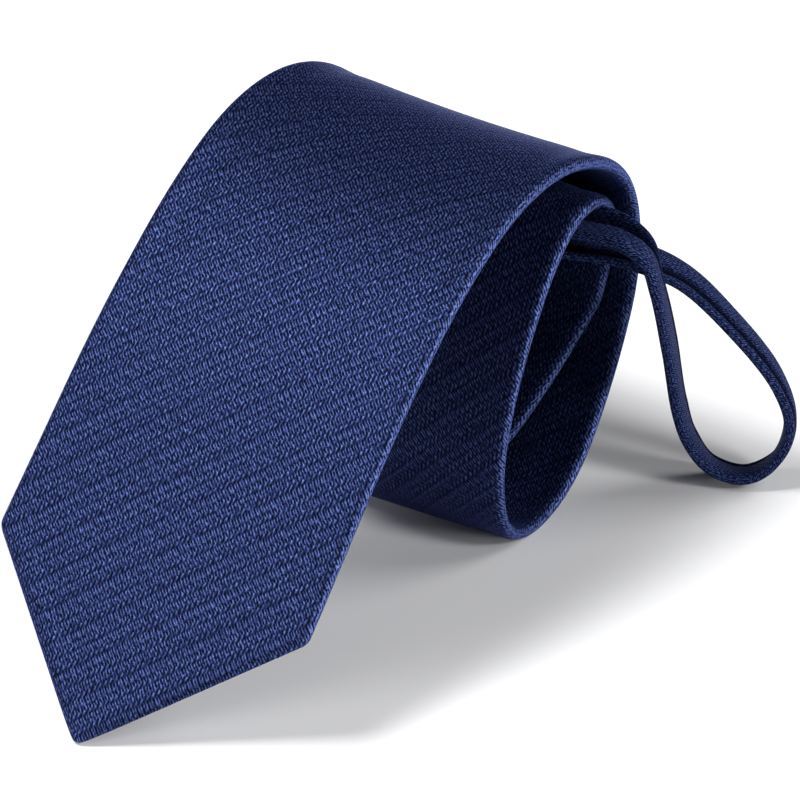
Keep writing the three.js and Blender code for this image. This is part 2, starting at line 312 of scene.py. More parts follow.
# %% Rings to mesh
def tube(name, rings, stations):
    """A closed mesh from rings of (point, way round) and each ring's distance along the cloth."""
    sides = len(rings[0])
    points = [point for ring in rings for point, _ in ring]
    faces, corners = [], []
    for i in range(len(rings) - 1):
        for j in range(sides):
            k = (j + 1) % sides
            faces.append((i * sides + j, i * sides + k, (i + 1) * sides + k, (i + 1) * sides + j))
            for row, column in ((i, j), (i, k), (i + 1, k), (i + 1, j)):
                way = rings[row][column][1]
                if column == 0 and j == sides - 1:
                    closing = (rings[row][0][0] - rings[row][-1][0]).length / MM
                    way = rings[row][-1][1] + closing
                corners.append((way, stations[row]))
    last_ring = (len(rings) - 1) * sides
    for start, forward, station in ((0, False, stations[0]), (last_ring, True, stations[-1])):
        ring = points[start:start + sides]
        middle = sum(ring, Vector()) / sides
        points.append(middle)
        for j in range(sides):
            a, b = start + j, start + (j + 1) % sides
            faces.append((len(points) - 1, a, b) if forward else (len(points) - 1, b, a))
            corners += [(0, station)] * 3
    mesh = bpy.data.meshes.new(name)
    mesh.from_pydata(points, [], faces)
    layer = mesh.uv_layers.new(name="cloth")
    layer.data.foreach_set("uv", [value for corner in corners for value in corner])
    mesh.shade_smooth()
    mesh.validate()
    piece = bpy.data.objects.new(name, mesh)
    bpy.context.scene.collection.objects.link(piece)
    return piece


def turn_faces_out(piece):
    """Flips the whole piece if its volume comes out negative."""
    mesh = piece.data
    mesh.calc_loop_triangles()
    vertices = mesh.vertices
    volume = sum(
        vertices[t.vertices[0]].co.dot(vertices[t.vertices[1]].co.cross(vertices[t.vertices[2]].co)) / 6
        for t in mesh.loop_triangles
    )
    if volume < 0:
        mesh.flip_normals()
    print(piece.name, len(mesh.polygons), "faces,", round(abs(volume) * 1e6, 1), "cubic cm")


# %% [markdown]
# ## The weave
# Tie silk of this kind has its threads on the bias. The pairs of warp threads lie 1.24 mm apart, and the
# weave repeats every 6.84 mm across the ribs. Real threads in mesh would be far too many, and a picture of
# cloth would blur close up, so nodes draw the weave. The rows of one repeat are charted as a weaver
# charts a pattern: rows of upright floats, rows of short slanted dashes and rows of small knots, with gaps
# between them. Two colour ramps read the chart, and math nodes turn it into waves of thread. The cloth's own
# UV map carries them round every bend. Two more things make it silk: a fine grain along the tie and a blue
# shine. On top of that a painted highlight brightens a line along each side fold, and painted shade darkens
# the band's groove.

# %% Node helpers
def new_material(name):
    material = bpy.data.materials.new(name)
    material.use_nodes = True
    nodes = material.node_tree.nodes
    nodes.clear()
    return material, nodes, material.node_tree.links


def math_node(nodes, links, operation, *values):
    node = nodes.new("ShaderNodeMath")
    node.operation = operation
    for socket, value in zip(node.inputs, values):
        if isinstance(value, (int, float)):
            socket.default_value = value
        else:
            links.new(value, socket)
    return node.outputs[0]


def ramp_node(nodes, links, factor, stops):
    """A colour ramp with straight lines between stops of (place, colour)."""
    node = nodes.new("ShaderNodeValToRGB")
    elements = node.color_ramp.elements
    for i, (place, colour) in enumerate(stops):
        element = elements[i] if i < 2 else elements.new(place)
        element.position = place
        element.color = (*colour, 1)
    links.new(factor, node.inputs[0])
    return node.outputs[0]


def noise_node(nodes, links, x, y, detail=1.0):
    """Soft noise round zero at a place that two values give."""
    place = nodes.new("ShaderNodeCombineXYZ")
    links.new(x, place.inputs[0])
    links.new(y, place.inputs[1])
    noise = nodes.new("ShaderNodeTexNoise")
    noise.inputs["Scale"].default_value = 1.0
    noise.inputs["Detail"].default_value = detail
    links.new(place.outputs[0], noise.inputs["Vector"])
    return math_node(nodes, links, "SUBTRACT", noise.outputs[0], 0.5)


# %% The chart of the weave
THREAD_PAIR = 1.24                  # along the ribs
REPEAT = 6.84                       # across the ribs

WEAVE_ROWS = [                      # row, place in the repeat, strength of floats and of slants, lift
    ("knots", 0.00, 0.05, 0.15, 0.05),
    ("floats", 0.13, 0.15, 0.1, 0.0),
    ("gap", 0.24, 0.05, 0.15, -0.1),
    ("dashes", 0.32, 0.0, 0.25, 0.05),
    ("gap", 0.39, 0.1, 0.15, -0.1),
    ("knots", 0.46, 0.05, 0.15, 0.05),
    ("gap", 0.53, 0.1, 0.1, -0.05),
    ("floats", 0.60, 0.15, 0.1, 0.05),
    ("gap", 0.69, 0.05, 0.15, -0.1),
    ("dashes", 0.76, 0.0, 0.25, 0.05),
    ("floats", 0.85, 0.15, 0.1, 0.0),
    ("gap", 0.94, 0.1, 0.15, -0.1),
    ("knots", 1.00, 0.05, 0.15, 0.05),
]
SLANT_STEPS = [                     # place in the repeat, thread pairs that a slanted thread has moved along
    (0.0, 0.0), (0.21, 0.0), (0.26, 0.5), (0.37, 0.9), (0.41, 1.4), (0.50, 1.4), (0.54, 1.0), (0.66, 1.0),
    (0.70, 1.5), (0.81, 1.9), (0.86, 2.4), (0.92, 2.4), (0.96, 2.0), (1.0, 2.0),
]
print("the chart has", len(WEAVE_ROWS), "rows in", REPEAT, "mm")

# %% Waves of thread
FLOATS_AT = 0.26                    # where the pair's floats lie, in shares of the pair
FLOAT_STRENGTH = 1.9
SLANT_STRENGTH = 0.85
MOST_PAIRS = 2.5                    # the ramp holds the slanted thread's place as a share of this
WAVER_SCALE = 0.11                  # threads never lie quite straight: noise steps for a millimetre
WAVER_PAIRS = 1.1                   # and how far that moves them


def thread_waves(nodes, links, along, over, size):
    """The height of the charted threads at a place along the ribs and over them, both in millimetres."""
    op = partial(math_node, nodes, links)
    waver = noise_node(nodes, links, op("MULTIPLY", along, WAVER_SCALE), op("MULTIPLY", over, WAVER_SCALE))
    pair = op("ADD", op("DIVIDE", along, THREAD_PAIR * size), op("MULTIPLY", waver, WAVER_PAIRS))
    row = op("FRACT", op("DIVIDE", over, REPEAT * size))

    amounts = nodes.new("ShaderNodeSeparateColor")
    chart = [(at, (floats, slant, lift + 0.5)) for _, at, floats, slant, lift in WEAVE_ROWS]
    links.new(ramp_node(nodes, links, row, chart), amounts.inputs[0])
    steps = [(at, (moved / MOST_PAIRS,) * 3) for at, moved in SLANT_STEPS]
    place = op("MULTIPLY", ramp_node(nodes, links, row, steps), MOST_PAIRS)

    floats = op("COSINE", op("MULTIPLY", op("SUBTRACT", pair, FLOATS_AT), math.tau * 2))
    floats = op("MULTIPLY", floats, op("MULTIPLY", amounts.outputs[0], FLOAT_STRENGTH))
    slanted = op("COSINE", op("MULTIPLY", op("SUBTRACT", pair, place), math.tau))
    slanted = op("MULTIPLY", slanted, op("MULTIPLY", amounts.outputs[1], SLANT_STRENGTH))
    return op("ADD", op("ADD", floats, slanted), op("SUBTRACT", amounts.outputs[2], 0.5))


# %% Weave material
GRAIN_SIZE = (0.48, 1.15)           # across the tie and along it
SLUB_SCALE = (0.012, 0.55)          # noise steps for a millimetre along a thicker thread and across it
SLUB_STRENGTH = 0.09
PAINTED_LIGHT_STRENGTH = 0.8                    # how much the attribute brightens the colour as a painted highlight on side folds and darkens it as painted shade in the band's groove
SHINE_TINT = (0.2, 0.3, 1.0, 1)
SHEEN_TINT = (0.22, 0.33, 1.0, 1)
SHEEN_ROUGHNESS = 0.4


def weave_material(name, colours, turn, size=1.0, relief=0.12, contrast=1.25, grain=0.85,
                   roughness=0.42, sheen=0.06, silkiness=0.5, gloss=0.12):
    """Cloth whose threads run at an angle to the strip, with its repeat scaled by size."""
    material, nodes, links = new_material(name)
    op = partial(math_node, nodes, links)
    uv = nodes.new("ShaderNodeUVMap")
    uv.uv_map = "cloth"
    parts = nodes.new("ShaderNodeSeparateXYZ")
    links.new(uv.outputs[0], parts.inputs[0])
    u, v = parts.outputs[0], parts.outputs[1]
    cosine, sine = math.cos(math.radians(turn)), math.sin(math.radians(turn))
    along = op("ADD", op("MULTIPLY", u, cosine), op("MULTIPLY", v, sine))
    over = op("SUBTRACT", op("MULTIPLY", v, cosine), op("MULTIPLY", u, sine))

    across_grain, along_grain = (step * size for step in GRAIN_SIZE)
    threads = noise_node(nodes, links, op("DIVIDE", u, across_grain), op("DIVIDE", v, along_grain))
    wave = op("ADD", thread_waves(nodes, links, along, over, size), op("MULTIPLY", threads, grain))
    height = op("MULTIPLY_ADD", wave, contrast, 0.5)
    height = op("MINIMUM", op("MAXIMUM", height, 0.0), 1.0)

    slub_along, slub_over = op("MULTIPLY", along, SLUB_SCALE[0]), op("MULTIPLY", over, SLUB_SCALE[1])
    slub = noise_node(nodes, links, slub_along, slub_over, detail=2.0)
    tone = op("ADD", height, op("MULTIPLY", slub, SLUB_STRENGTH))
    # painted light: brighter along the blade's side folds as a painted highlight, darker in the band's groove
    # as painted shade
    painted_light = nodes.new("ShaderNodeAttribute")
    painted_light.attribute_name = "painted_light"
    tone = op("MULTIPLY", tone, op("MULTIPLY_ADD", painted_light.outputs["Fac"], PAINTED_LIGHT_STRENGTH, 1.0))
    colour = ramp_node(nodes, links, tone, colours)
    bump = nodes.new("ShaderNodeBump")
    bump.inputs["Strength"].default_value = 1.0
    bump.inputs["Distance"].default_value = relief * size * MM
    links.new(height, bump.inputs["Height"])
    shader = nodes.new("ShaderNodeBsdfPrincipled")
    shader.inputs["Roughness"].default_value = roughness
    shader.inputs["Metallic"].default_value = silkiness
    shader.inputs["Specular IOR Level"].default_value = gloss
    shader.inputs["Specular Tint"].default_value = SHINE_TINT
    shader.inputs["Sheen Weight"].default_value = sheen
    shader.inputs["Sheen Roughness"].default_value = SHEEN_ROUGHNESS
    shader.inputs["Sheen Tint"].default_value = SHEEN_TINT
    links.new(colour, shader.inputs["Base Color"])
    links.new(bump.outputs[0], shader.inputs["Normal"])
    output = nodes.new("ShaderNodeOutputMaterial")
    links.new(shader.outputs[0], output.inputs[0])
    print(name, len(nodes), "nodes")
    return material


# %% Two weaves
NAVY = [            # height of the thread, colour: gaps, sides of the threads, tops, bright tops
    (0.0, (0.0008, 0.0011, 0.0024)),
    (0.30, (0.0030, 0.0044, 0.0140)),
    (0.60, (0.0148, 0.0226, 0.0780)),
    (1.0, (0.0740, 0.1060, 0.2700)),
]
BIAS = 45                           # degrees between the threads and the tie
BAND_TONE = 0.95                    # the band is a little darker and duller, and looks finer
BAND_NAVY = [(height, tuple(BAND_TONE * value for value in colour)) for height, colour in NAVY]

navy_weave = weave_material("navy_rib_weave", NAVY, BIAS)
band_weave = weave_material(
    "navy_band_weave", BAND_NAVY, BIAS, size=0.75, relief=0.12, contrast=1.2, grain=0.9, roughness=0.6,
    sheen=0.03, silkiness=0.1, gloss=0.02
)

# %% [markdown]
# ## The blade
# The blade's cloth is the section drawn again and again along the middle line, each time turned to the line's
# heading. A cloth simulation could roll a flat strip up, but it would not land where the CAD solid lies, so
# the strip is modelled directly. The rings lie closer together at the tip, at the corners of the point and in
# the last turns, where the shape changes quickly.

# %% Rows of the blade
ROW_STEP = 1.5
TIP_ROWS = [0.15, 0.3, 0.5, 0.75, 1.0, 1.5, 2.0]
FINE_ROWS = [(32.5, 38, 0.5), (392, 460, 1.0)]      # from, to and step: the corners, the last turns


def blade_rows():
    """The distances from the tip at which the blade has a ring."""
    rows = list(TIP_ROWS)
    while rows[-1] < LINE_LENGTH:
        at = rows[-1]
        step = next((fine for start, end, fine in FINE_ROWS if start < at < end), ROW_STEP)
        rows.append(min(at + step, LINE_LENGTH))
    return rows


def on_line(at):
    """Place and heading of the middle line at a distance from the tip."""
    i = min(int(at / PATH_STEP), len(line) - 2)
    share = at / PATH_STEP - i
    (_, y0, z0, h0), (_, y1, z1, h1) = line[i], line[i + 1]
    return y0 + share * (y1 - y0), z0 + share * (z1 - z0), h0 + share * (h1 - h0)


def edge_lean(at):
    """The cosine of the angle between the blade's edge and its middle line."""
    rise_in_one_mm = abs(half_width(at + 0.5) - half_width(at - 0.5))
    return math.cos(math.atan(rise_in_one_mm))


print("the blade has", len(blade_rows()), "rings")


# %% Blade
def make_blade():
    rings, stations = [], []
    for at in blade_rows():
        y, z, heading = on_line(at)
        half = half_width(at)
        drift = between(OUTLINE_DRIFT, at)
        sine, cosine = math.sin(math.radians(heading)), math.cos(math.radians(heading))
        ring = []
        section = blade_section(at, half, edge_lean(at))
        middle_way = section[HALF_POINTS][2]
        for across, normal, way in section:
            out = normal + bulge(at, across / half)
            point = (across + drift, y - out * sine, max(z + out * cosine, 0.0))
            ring.append((to_row(point), way - middle_way + drift))
        rings.append(ring)
        stations.append(at)
    return tube("blade_cloth", rings, stations)


FOLD_HIGHLIGHT_WIDTH = 0.9                     # width of the painted highlight along a side fold
FOLD_HIGHLIGHT_ALONG = [(33, 0), (38, 1)]   # distance from the tip, strength of the painted highlight: none along the point


def paint_fold_highlight(piece):
    """Paints a highlight along the side folds: 1 on the fold, 0 further in than the highlight's width."""
    highlight_values = []
    for at in blade_rows():
        half = half_width(at)
        strength = between(FOLD_HIGHLIGHT_ALONG, at)
        for across, _, _ in blade_section(at, half, 1.0):
            highlight_values.append(strength * max(1 - (half - abs(across)) / FOLD_HIGHLIGHT_WIDTH, 0))
    layer = piece.data.attributes.new("painted_light", "FLOAT", "POINT")
    layer.data.foreach_set("value", highlight_values + [0.0] * (len(piece.data.vertices) - len(highlight_values)))


blade = make_blade()
turn_faces_out(blade)
# painted highlight along the blade's side folds
paint_fold_highlight(blade)
blade.data.materials.append(navy_weave)

# %% [markdown]
# ## The neck band
# The band is a narrow strip of the same cloth, folded flat and closed by a lap along one edge, which shows
# as a fine groove. Its way is a smooth curve through a table of places. A curve's own tilt could turn the
# strip, but tilt is counted from a direction that moves with the curve. So each place also says which way the
# strip's width points: `plan` is the angle seen from above and `dip` how far it points down.

# %% Route of the neck band
KNOT_START = 460                    # on the blade's middle line
KNOT_LENGTH = 34
BAND_IN_KNOT = 4.5                  # the band's ends go this deep into the knot
BAND_APART = 8                      # and lie this far from its middle, one to each side
PLAN_IN_KNOT = 90                   # there the strip's width points along the knot's thickness

BAND_ROUTE = [                      # x, y, z, plan, dip
    (-7.5, 132.5, 55.5, 91, 25), (-5, 133.5, 58.5, 94, 18), (1, 134, 60.5, 98, 9),
    (16, 134.5, 63, 106, 3), (31, 137, 64.5, 111, 2), (39, 139, 64, 113, -2),
    (44.5, 140, 61, 115, -5), (46.5, 141.5, 54, 114, 2), (47.5, 147, 37, 110, 6),
    (49, 150.5, 20, 110, 8), (51, 153, 11, 113, 10), (55, 156.5, 4, 119, 11),
    (61, 160.5, 2, 118, 13), (66, 164, 6, 110, 10), (68, 165.5, 15, 119, 0),
    (65, 163.5, 26, 122, -6), (56, 158, 40, 122, -7), (46, 154, 49.5, 122, -8),
    (38, 146.5, 55.5, 109, -3), (27, 138.5, 58, 107, 3), (13, 134, 57.5, 98, 14),
    (9, 132.5, 56, 93, 22),
]


def knot_axes():
    """Where the knot starts, its axis and its thickness direction, in the tie's millimetres."""
    y0, z0, _ = on_line(KNOT_START)
    y1, z1, _ = on_line(LINE_LENGTH)
    axis = Vector((0, y1 - y0, z1 - z0)).normalized()
    return Vector((0, y0, z0)), axis, axis.cross(Vector((1, 0, 0)))


def band_route():
    """The rows of the route with the two ends in the knot added."""
    start, axis, thickness = knot_axes()
    dip = math.degrees(math.asin(abs(thickness.z)))

    def end(x, height):
        place = start + axis * (KNOT_LENGTH + height) + Vector((x, 0, 0))
        return (*place, PLAN_IN_KNOT, dip)

    before = [end(-BAND_APART, -BAND_IN_KNOT), end(-BAND_APART, 0)]
    after = [end(BAND_APART, 0), end(BAND_APART, -BAND_IN_KNOT)]
    return before + BAND_ROUTE + after


def through(points, row, share):
    """A centripetal Catmull-Rom curve: place and direction between two rows."""
    last = len(points) - 1
    p1, p2 = points[row], points[row + 1]
    p0 = points[row - 1] if row > 0 else p1 * 2 - p2
    p3 = points[row + 2] if row + 2 <= last else p2 * 2 - p1
    d0, d1, d2 = (max((b - a).length ** 0.5, 1e-4) for a, b in ((p0, p1), (p1, p2), (p2, p3)))
    m1 = ((p1 - p0) / d0 - (p2 - p0) / (d0 + d1) + (p2 - p1) / d1) * d1
    m2 = ((p2 - p1) / d1 - (p3 - p1) / (d1 + d2) + (p3 - p2) / d2) * d1
    a, b = p1 * 2 - p2 * 2 + m1 + m2, p2 * 3 - p1 * 3 - m1 * 2 - m2
    place = ((a * share + b) * share + m1) * share + p1
    return place, ((a * 3 * share + b * 2) * share + m1).normalized()


# %% The path of the neck band
BAND_STEPS = 14                     # places on the path between two rows of the route


def band_path():
    """A chain of edges along the route. Each point knows which way the strip faces and its distance."""
    route = band_route()
    places = [Vector(row[:3]) for row in route]
    points, facings, stations, last = [], [], [], None
    for i in range((len(route) - 1) * BAND_STEPS + 1):
        row = min(i // BAND_STEPS, len(route) - 2)
        share = i / BAND_STEPS - row
        eased = share * share * (3 - 2 * share)
        plan = math.radians(route[row][3] + eased * (route[row + 1][3] - route[row][3]))
        dip = math.radians(route[row][4] + eased * (route[row + 1][4] - route[row][4]))
        place, along = through(places, row, share)
        across = Vector((math.cos(plan) * math.cos(dip), math.sin(plan) * math.cos(dip), -math.sin(dip)))
        across = (across - along * across.dot(along)).normalized()
        facings.append(along.cross(across))
        points.append(to_row(place))
        stations.append(stations[-1] + (place - last).length if last else 0.0)
        last = place
    mesh = bpy.data.meshes.new("band_path")
    mesh.from_pydata(points, [(i, i + 1) for i in range(len(points) - 1)], [])
    facing = mesh.attributes.new("facing", "FLOAT_VECTOR", "POINT")
    facing.data.foreach_set("vector", [value for normal in facings for value in normal])
    station = mesh.attributes.new("station", "FLOAT", "POINT")
    station.data.foreach_set("value", stations)
    path = bpy.data.objects.new("band_path", mesh)
    bpy.context.scene.collection.objects.link(path)
    print("neck band", round(stations[-1], 1), "mm long,", len(points), "places on its path")
    return path


# %% Helpers for geometry trees
def new_tree(name, inputs):
    """An empty tree with named inputs, each a label, a kind and a value. Returns it and its input sockets."""
    tree = bpy.data.node_groups.new(name, "GeometryNodeTree")
    tree.interface.new_socket("Geometry", in_out="OUTPUT", socket_type="NodeSocketGeometry")
    tree.interface.new_socket("Geometry", in_out="INPUT", socket_type="NodeSocketGeometry")
    for label, kind, value in inputs:
        socket = tree.interface.new_socket(label, in_out="INPUT", socket_type="NodeSocket" + kind)
        socket.default_value = value
    return tree, tree.nodes.new("NodeGroupInput").outputs


def add(tree, kind, values, **options):
    """Adds a node, sets its options and fills its named inputs with values or other nodes' outputs."""
    node = tree.nodes.new(kind)
    for option, choice in options.items():
        setattr(node, option, choice)
    for label, value in values.items():
        socket = next(s for s in node.inputs if s.name == label and s.enabled)
        if isinstance(value, bpy.types.NodeSocket):
            tree.links.new(value, socket)
        else:
            socket.default_value = value
    return next((s for s in node.outputs if s.enabled), None)


def named(tree, name, kind="FLOAT"):
    """Reads an attribute that a point carries."""
    return add(tree, "GeometryNodeInputNamedAttribute", {"Name": name}, data_type=kind)


def store(tree, geometry, name, value, kind="FLOAT", domain="POINT"):
    """Writes a value on every point or corner under a name."""
    inputs = {"Geometry": geometry, "Name": name, "Value": value}
    return add(tree, "GeometryNodeStoreNamedAttribute", inputs, data_type=kind, domain=domain)


def split(tree, vector):
    node = tree.nodes.new("ShaderNodeSeparateXYZ")
    tree.links.new(vector, node.inputs[0])
    return node.outputs


def join(tree, x, y, z):
    return add(tree, "ShaderNodeCombineXYZ", {"X": x, "Y": y, "Z": z})


# %% From a tree to a plain piece
SCRATCH_ATTRIBUTES = ("facing", "station", "way", "across", "side")


def grow(name, carrier, tree, inputs):
    """Runs a tree on a carrier mesh with the given inputs and keeps the result as a plain piece."""
    values = {label: value for label, _, value in inputs}
    modifier = carrier.modifiers.new(name, "NODES")
    modifier.node_group = tree
    for item in tree.interface.items_tree:
        if item.in_out == "INPUT" and item.name in values:
            modifier[item.identifier] = values[item.name]
    depsgraph = bpy.context.evaluated_depsgraph_get()
    evaluated = carrier.evaluated_get(depsgraph)
    mesh = bpy.data.meshes.new_from_object(evaluated, preserve_all_data_layers=True, depsgraph=depsgraph)
    bpy.data.objects.remove(carrier)
    mesh.name = name
    for attribute in [a.name for a in mesh.attributes if a.name in SCRATCH_ATTRIBUTES]:
        mesh.attributes.remove(mesh.attributes[attribute])
    piece = bpy.data.objects.new(name, mesh)
    bpy.context.scene.collection.objects.link(piece)
    return piece


# %% [markdown]
# ### The band as a swept section
# Curve to Mesh sweeps a closed section along a path, and Set Curve Normal lets the path say which way the
# strip faces, so its width never spins round on the way. The section is a circle whose two directions are
# raised to a power, which gives a flat strip with soft edges. The folded strip's lap is a fine groove, one on
# each face, and painted shade darkens the colour along it. Near the knot the fold stands open: its far lip
# rises and leaves a dark hollow beside it, and the painted shade there is weaker.

# %% Sizes of the band
BAND_WIDTH = 9
BAND_THICKNESS = 2.8
ROUNDNESS = 0.6                     # 1 is an ellipse, and smaller is squarer
CIRCLE_POINTS = 240                 # on the section before its points are spaced evenly

BAND_INPUTS = [                     # label, kind and value of the tree's inputs
    ("Width", "Float", BAND_WIDTH * MM),
    ("Thickness", "Float", BAND_THICKNESS * MM),
    ("Roundness", "Float", ROUNDNESS),
    ("Sides", "Int", 120),
    ("Groove depth", "Float", 1.0 * MM),
    ("Groove width", "Float", 0.8 * MM),
    ("Groove from edge", "Float", 2.0 * MM),
    ("Mouth at", "Float", 51.0),    # from the band's first end, in mm
    ("Mouth reach", "Float", 11.0),
    ("Mouth depth", "Float", 1.0 * MM),
    ("Lip lift", "Float", 2.8 * MM),
    ("Cloth", "Material", band_weave),
]
HOLLOW_INSET = 0.4 * MM             # from the groove to the hollow's middle
HOLLOW_REACH = 0.8 * MM
LIP_OUTSET = 0.2 * MM               # from the groove to where the lip starts to rise
LIP_SLOPE = 0.4 * MM                # width over which it reaches its height
CREASE_SHADE_SPREAD = 1.1                 # painted shade darkens the cloth this many groove widths to each side
MOUTH_LIGHTER = 0.7                 # share of that painted shade which the open mouth loses
print("the band's tree takes", len(BAND_INPUTS), "inputs")


# %% The band's section
def band_section(tree, given):
    """The strip's closed section, whose points know their place on it, and its length all round."""
    op = partial(math_node, tree.nodes, tree.links)

    def power_of(value):
        return op("MULTIPLY", op("SIGN", value), op("POWER", op("ABSOLUTE", value), given["Roundness"]))

    circle = add(tree, "GeometryNodeCurvePrimitiveCircle", {"Resolution": CIRCLE_POINTS, "Radius": 1.0})
    x, y, _ = split(tree, add(tree, "GeometryNodeInputPosition", {}))
    normal = op("MULTIPLY", power_of(y), op("DIVIDE", given["Thickness"], 2))
    across = op("MULTIPLY", power_of(x), op("DIVIDE", given["Width"], 2))
    inputs = {"Geometry": circle, "Position": join(tree, normal, op("MULTIPLY", across, -1), 0.0)}
    section = add(tree, "GeometryNodeSetPosition", inputs)
    section = add(tree, "GeometryNodeResampleCurve", {"Curve": section, "Count": given["Sides"]})
    around = add(tree, "GeometryNodeCurveLength", {"Curve": section})

    x, y, _ = split(tree, add(tree, "GeometryNodeInputPosition", {}))
    parameter = tree.nodes.new("GeometryNodeSplineParameter").outputs["Length"]
    section = store(tree, section, "way", parameter)
    section = store(tree, section, "across", op("MULTIPLY", y, -1))
    section = store(tree, section, "side", op("SIGN", x))
    return section, around


# %% Groove, hollow and lip
def band_relief(tree, given):
    """How far the lip stands out, how far the whole surface does, and how dark the groove's painted shade is.
    """
    op = partial(math_node, tree.nodes, tree.links)

    def bell(value, centre, reach):
        steps = op("DIVIDE", op("SUBTRACT", value, centre), reach)
        return op("EXPONENT", op("MULTIPLY", op("POWER", steps, 2), -1))

    across, side, station = named(tree, "across"), named(tree, "side"), named(tree, "station")
    half = op("DIVIDE", given["Width"], 2)
    groove_at = op("MULTIPLY", side, op("SUBTRACT", half, given["Groove from edge"]))
    groove = op("MULTIPLY", bell(across, groove_at, given["Groove width"]), given["Groove depth"])

    open_here = op("MULTIPLY", bell(station, given["Mouth at"], given["Mouth reach"]), op("MAXIMUM", side, 0))
    hollow = bell(across, op("SUBTRACT", groove_at, HOLLOW_INSET), HOLLOW_REACH)
    hollow = op("MULTIPLY", op("MULTIPLY", hollow, given["Mouth depth"]), open_here)
    beyond = op("DIVIDE", op("SUBTRACT", across, op("ADD", groove_at, LIP_OUTSET)), LIP_SLOPE)
    beyond = op("MINIMUM", op("MAXIMUM", beyond, 0), 1)
    lip = op("MULTIPLY", op("MULTIPLY", beyond, given["Lip lift"]), open_here)

    # painted shade along the groove, weaker where the mouth stands open
    crease_shade = bell(across, groove_at, op("MULTIPLY", given["Groove width"], CREASE_SHADE_SPREAD))
    crease_shade = op("MULTIPLY", crease_shade, op("SUBTRACT", 1, op("MULTIPLY", open_here, MOUTH_LIGHTER)))
    return lip, op("SUBTRACT", lip, op("ADD", groove, hollow)), crease_shade


# %% The band's tree
def band_tree():
    tree, given = new_tree("folded_band", BAND_INPUTS)
    op = partial(math_node, tree.nodes, tree.links)
    section, around = band_section(tree, given)
    path = add(tree, "GeometryNodeMeshToCurve", {"Mesh": given["Geometry"]})
    facing = named(tree, "facing", "FLOAT_VECTOR")
    path = add(tree, "GeometryNodeSetCurveNormal", {"Curve": path, "Normal": facing}, mode="FREE")
    inputs = {"Curve": path, "Profile Curve": section, "Fill Caps": True}
    strip = add(tree, "GeometryNodeCurveToMesh", inputs)

    lip, out, crease_shade = band_relief(tree, given)
    offset = tree.nodes.new("ShaderNodeVectorMath")
    offset.operation = "SCALE"
    tree.links.new(named(tree, "facing", "FLOAT_VECTOR"), offset.inputs[0])
    tree.links.new(op("MULTIPLY", out, named(tree, "side")), offset.inputs["Scale"])
    strip = add(tree, "GeometryNodeSetPosition", {"Geometry": strip, "Offset": offset.outputs[0]})
    x, y, z = split(tree, add(tree, "GeometryNodeInputPosition", {}))
    on_table = join(tree, x, y, op("MAXIMUM", z, 0.0))
    strip = add(tree, "GeometryNodeSetPosition", {"Geometry": strip, "Position": on_table})

    way = named(tree, "way")
    face_way = add(tree, "GeometryNodeFieldOnDomain", {"Value": way}, data_type="FLOAT", domain="FACE")
    closing = op("LESS_THAN", way, op("SUBTRACT", face_way, op("DIVIDE", around, 4)))
    u = op("DIVIDE", op("SUBTRACT", op("ADD", way, op("MULTIPLY", closing, around)), lip), MM)
    place = join(tree, u, named(tree, "station"), 0.0)
    strip = store(tree, strip, "cloth", place, "FLOAT2", "CORNER")
    # the groove's painted shade goes into the same attribute as the blade's painted highlight, with its sign
    # turned
    strip = store(tree, strip, "painted_light", op("MULTIPLY", crease_shade, -1))

    strip = add(tree, "GeometryNodeSetShadeSmooth", {"Geometry": strip})
    strip = add(tree, "GeometryNodeRealizeInstances", {"Geometry": strip})
    strip = add(tree, "GeometryNodeSetMaterial", {"Geometry": strip, "Material": given["Cloth"]})
    output = tree.nodes.new("NodeGroupOutput")
    tree.links.new(strip, output.inputs[0])
    print("folded_band tree", len(tree.nodes), "nodes")
    return tree


# %% The band
band = grow("neck_band", band_path(), band_tree(), BAND_INPUTS)
turn_faces_out(band)

# %% [markdown]
# ## The knot
# The knot is hidden in the roll and shows only from the open sides. It is a flattened funnel of wrapped
# cloth, narrow where the blade comes in and wide at the collar. A real knot could be wound from a strip, but
# all but its surface would be hidden, so it is one closed body, and the edges of its wraps are shallow dents
# that run slantwise round it.

# %% Knot
KNOT_SECTIONS = [                   # distance along, half width, half thickness
    (0, 12.6, 6.2), (1.5, 14, 7.4), (10, 15, 8), (20, 17, 8.6), (28, 18.4, 8.9), (32.5, 18.6, 8.5),
    (34, 17.4, 7.3),
]
KNOT_BLEND = 2                      # length over which one section passes into the next
KNOT_SIDES = 96
KNOT_ROWS = 60
WRAPS = [(8, 0.34), (19, -0.3), (27, 0.16)]     # height of each wrap's edge in the middle, and its slant
WRAP_DENT = 0.55                    # depth of the dent at a wrap's edge
WRAP_SPREAD = 0.9
KNOT_RADIUS = 14                    # a dent's depth counts as a share of this


def rounded(value):
    return math.copysign(abs(value) ** ROUNDNESS, value)


